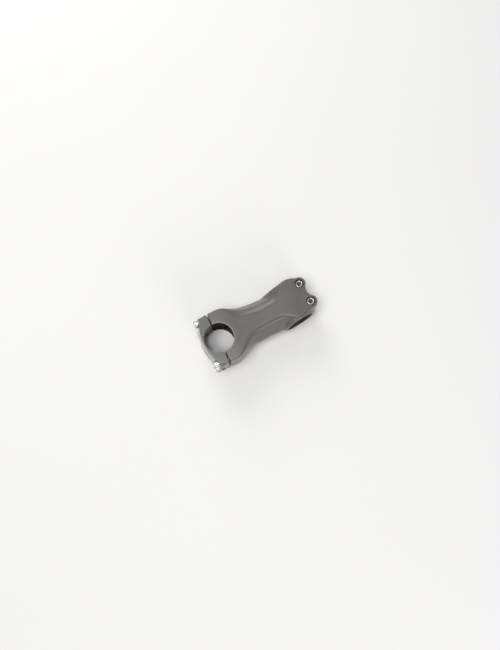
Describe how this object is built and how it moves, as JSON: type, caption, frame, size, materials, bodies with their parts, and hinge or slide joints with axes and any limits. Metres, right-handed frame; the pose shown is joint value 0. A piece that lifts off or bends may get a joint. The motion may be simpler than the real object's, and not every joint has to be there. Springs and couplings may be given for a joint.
{
  "type": "handlebar stem",
  "caption": "Bicycle handlebar stem: forged body with a bolted handlebar faceplate at one end and a split steerer clamp at the other.",
  "frame": {"origin": "centre of the handlebar bore", "axes": "+Z along the handlebar, towards the heads of the pinch bolts; +X from the handlebar towards the steerer"},
  "size_m": [0.133, 0.057, 0.042],
  "materials": {
    "body_alloy": "satin anodised warm grey",
    "faceplate_alloy": "satin anodised warm grey",
    "bolt_steel": "stainless, turned head",
    "washer_steel": "stainless, tumbled"
  },
  "bodies": {
    "body": {"stem_body": "body_alloy"},
    "faceplate_carrier": {"faceplate": "faceplate_alloy", "faceplate_washer_1": "washer_steel", "faceplate_washer_2": "washer_steel", "faceplate_washer_3": "washer_steel", "faceplate_washer_4": "washer_steel"},
    "face_bolt_1": {"faceplate_bolt_1": "bolt_steel"},
    "face_bolt_2": {"faceplate_bolt_2": "bolt_steel"},
    "face_bolt_3": {"faceplate_bolt_3": "bolt_steel"},
    "face_bolt_4": {"faceplate_bolt_4": "bolt_steel"},
    "pinch_carrier_1": {"pinch_washer_1": "washer_steel"},
    "pinch_screw_1": {"pinch_bolt_1": "bolt_steel"},
    "pinch_carrier_2": {"pinch_washer_2": "washer_steel"},
    "pinch_screw_2": {"pinch_bolt_2": "bolt_steel"}
  },
  "joints": [
    {"name": "faceplate_slide", "type": "slide", "parent": "body", "child": "faceplate_carrier", "axis": [-1, 0, 0], "range_m": [0, 0.008]},
    {"name": "faceplate_bolt_1_turn", "type": "hinge", "parent": "faceplate_carrier", "child": "face_bolt_1", "pos_m": [-0.0125, 0.024, 0.0165], "axis": [-1, 0, 0], "range_deg": [0, 3600]},
    {"name": "faceplate_bolt_2_turn", "type": "hinge", "parent": "faceplate_carrier", "child": "face_bolt_2", "pos_m": [-0.0125, 0.024, -0.0165], "axis": [-1, 0, 0], "range_deg": [0, 3600]},
    {"name": "faceplate_bolt_3_turn", "type": "hinge", "parent": "faceplate_carrier", "child": "face_bolt_3", "pos_m": [-0.0125, -0.024, 0.0165], "axis": [-1, 0, 0], "range_deg": [0, 3600]},
    {"name": "faceplate_bolt_4_turn", "type": "hinge", "parent": "faceplate_carrier", "child": "face_bolt_4", "pos_m": [-0.0125, -0.024, -0.0165], "axis": [-1, 0, 0], "range_deg": [0, 3600]},
    {"name": "pinch_bolt_1_lift", "type": "slide", "parent": "body", "child": "pinch_carrier_1", "axis": [0, 0, 1], "range_m": [0, 0.0108]},
    {"name": "pinch_bolt_1_turn", "type": "hinge", "parent": "pinch_carrier_1", "child": "pinch_screw_1", "pos_m": [0.10274, 0.01398, 0.0128], "axis": [0, 0, 1], "range_deg": [0, 4860]},
    {"name": "pinch_bolt_2_lift", "type": "slide", "parent": "body", "child": "pinch_carrier_2", "axis": [0, 0, 1], "range_m": [0, 0.0108]},
    {"name": "pinch_bolt_2_turn", "type": "hinge", "parent": "pinch_carrier_2", "child": "pinch_screw_2", "pos_m": [0.10509, -0.0084, 0.0128], "axis": [0, 0, 1], "range_deg": [0, 4860]}
  ],
  "couplings": [
    {"joint": "faceplate_bolt_1_turn", "follows": "faceplate_slide", "rad_per_m": 7854},
    {"joint": "faceplate_bolt_2_turn", "follows": "faceplate_slide", "rad_per_m": 7854},
    {"joint": "faceplate_bolt_3_turn", "follows": "faceplate_slide", "rad_per_m": 7854},
    {"joint": "faceplate_bolt_4_turn", "follows": "faceplate_slide", "rad_per_m": 7854},
    {"joint": "pinch_bolt_1_turn", "follows": "pinch_bolt_1_lift", "rad_per_m": 7854},
    {"joint": "pinch_bolt_2_turn", "follows": "pinch_bolt_2_lift", "rad_per_m": 7854}
  ]
}
